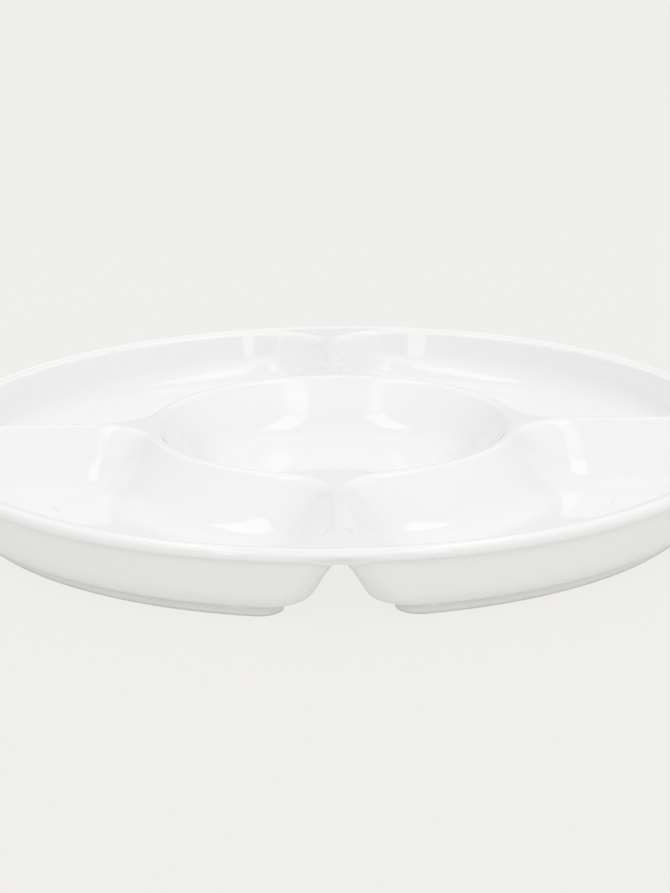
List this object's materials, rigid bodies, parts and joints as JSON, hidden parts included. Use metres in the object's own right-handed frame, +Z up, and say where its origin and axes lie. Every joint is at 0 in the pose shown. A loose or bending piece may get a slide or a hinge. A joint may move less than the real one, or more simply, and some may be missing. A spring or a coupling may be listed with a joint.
{
  "type": "divided serving dish",
  "caption": "Low round glazed serving dish with a central round well, outer wells between hollow radial dividers, a rolled lip and unglazed foot rims.",
  "frame": {"origin": "centre of the dish on the table plane, at the bottom of the foot rims", "axes": "+Z up along the dish's axis; -Y towards the pictured front divider, +X to its right"},
  "size_m": [0.3, 0.3, 0.028],
  "materials": {
    "glaze": "glossy clear glaze on white porcelain",
    "bisque": "unglazed, fine matt foot rims"
  },
  "bodies": {
    "root": {"rim_lip": "glaze", "ring_crest": "glaze", "centre_well": "glaze", "centre_foot": "bisque", "outer_well_front_right": "glaze", "outer_well_back_right": "glaze", "outer_well_back_left": "glaze", "outer_well_front_left": "glaze", "foot_front_right": "bisque", "foot_back_right": "bisque", "foot_back_left": "bisque", "foot_front_left": "bisque", "divider_right": "glaze", "divider_back": "glaze", "divider_left": "glaze", "divider_front": "glaze"}
  },
  "joints": []
}
